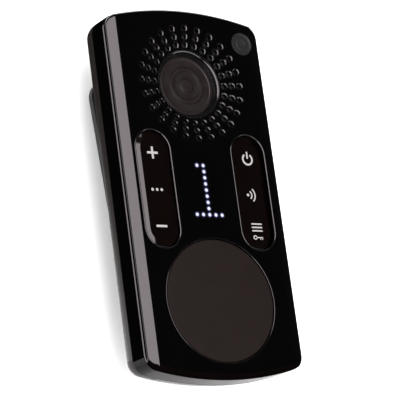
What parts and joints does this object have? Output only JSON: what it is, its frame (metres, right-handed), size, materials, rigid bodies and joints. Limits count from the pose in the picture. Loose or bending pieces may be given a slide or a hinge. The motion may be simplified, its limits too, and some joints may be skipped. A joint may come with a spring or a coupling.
{
  "type": "handheld two-way radio",
  "caption": "Slim gloss-black handheld radio with a round talk button, two oval rocker keys, a ringed speaker grille, a dotted lit digit and a sprung belt clip.",
  "frame": {"origin": "under the middle of the body, at the lowest point of the belt clip, with the radio lying on its back", "axes": "+Z out of the front face, +Y towards the speaker end, +X to the right seen from the front"},
  "size_m": [0.0524, 0.1074, 0.0261],
  "materials": {
    "gloss_black": "high gloss",
    "housing_black": "satin gloss",
    "back_grey": "satin",
    "talk_soft": "soft matte",
    "key_gloss": "gloss",
    "icon_print": "flat print",
    "badge_metal": "satin, warm grey",
    "ring_metal": "gloss, dark",
    "corner_plate": "satin, dark grey",
    "mesh_cloth": "woven",
    "rubber_black": "matt",
    "steel": "bright",
    "cone_paper": "paper",
    "copper": "enamelled wire",
    "magnet": "ground",
    "lit_dot": "lit",
    "board_green": "solder mask",
    "chip_black": "moulded",
    "tin": "tinned",
    "gold": "plated",
    "battery_wrap": "shrink film",
    "foam": "open cell",
    "clip_plastic": "satin",
    "jack_black": "moulded",
    "mic_can": "drawn"
  },
  "bodies": {
    "housing": {"front_panel": "gloss_black", "mid_housing": "housing_black", "back_cover": "back_grey", "case_seal": "rubber_black", "case_screws": "steel", "badge_ring": "ring_metal", "speaker_badge": "badge_metal", "corner_badge": "corner_plate", "speaker_mesh": "mesh_cloth", "speaker_gasket": "rubber_black", "speaker_frame": "tin", "speaker_cone": "cone_paper", "voice_coil": "copper", "speaker_magnet": "magnet", "display_dots": "lit_dot", "led_matrix": "board_green", "main_board": "board_green", "radio_chips": "chip_black", "rf_shield": "tin", "antenna": "gold", "microphone": "mic_can", "mic_boot": "rubber_black", "headset_jack": "jack_black", "battery_contacts": "gold", "battery_pack": "battery_wrap", "battery_terminals": "gold", "battery_pad": "foam", "ptt_dome": "tin", "left_domes": "tin", "right_domes": "tin", "clip_bracket": "clip_plastic", "bracket_screws": "steel", "clip_pin": "steel", "clip_spring": "steel"},
    "talk_button": {"ptt_button": "talk_soft", "ptt_plunger": "icon_print"},
    "left_carrier": {"left_key_carrier": "chip_black"},
    "left_key": {"left_key_cap": "key_gloss", "left_key_icons": "icon_print"},
    "right_carrier": {"right_key_carrier": "chip_black"},
    "right_key": {"right_key_cap": "key_gloss", "right_key_icons": "icon_print"},
    "door": {"battery_door": "back_grey"},
    "clip": {"belt_clip": "clip_plastic"}
  },
  "joints": [
    {"name": "talk_press", "type": "slide", "parent": "housing", "child": "talk_button", "axis": [0, 0, -1], "range_m": [0, 0.0006], "stiffness_N_per_m": 1500, "deforming": ["ptt_dome"]},
    {"name": "left_press", "type": "slide", "parent": "housing", "child": "left_carrier", "axis": [0, 0, -1], "range_m": [0, 0.0003], "stiffness_N_per_m": 1500, "deforming": ["left_domes"]},
    {"name": "left_rock", "type": "hinge", "parent": "left_carrier", "child": "left_key", "pos_m": [-0.01595, 0, 0.0226], "axis": [1, 0, 0], "range_deg": [-1.8, 1.8], "stiffness_Nm_per_rad": 0.3},
    {"name": "right_press", "type": "slide", "parent": "housing", "child": "right_carrier", "axis": [0, 0, -1], "range_m": [0, 0.0003], "stiffness_N_per_m": 1500, "deforming": ["right_domes"]},
    {"name": "right_rock", "type": "hinge", "parent": "right_carrier", "child": "right_key", "pos_m": [0.01595, 0, 0.0226], "axis": [1, 0, 0], "range_deg": [-1.8, 1.8], "stiffness_Nm_per_rad": 0.3},
    {"name": "door_slide", "type": "slide", "parent": "housing", "child": "door", "axis": [0, -1, 0], "range_m": [0, 0.03]},
    {"name": "clip_hinge", "type": "hinge", "parent": "housing", "child": "clip", "pos_m": [0, 0.03, 0.0062], "axis": [1, 0, 0], "range_deg": [0, 28], "stiffness_Nm_per_rad": 0.1, "springref_deg": -20.05, "deforming": ["clip_spring"]}
  ]
}
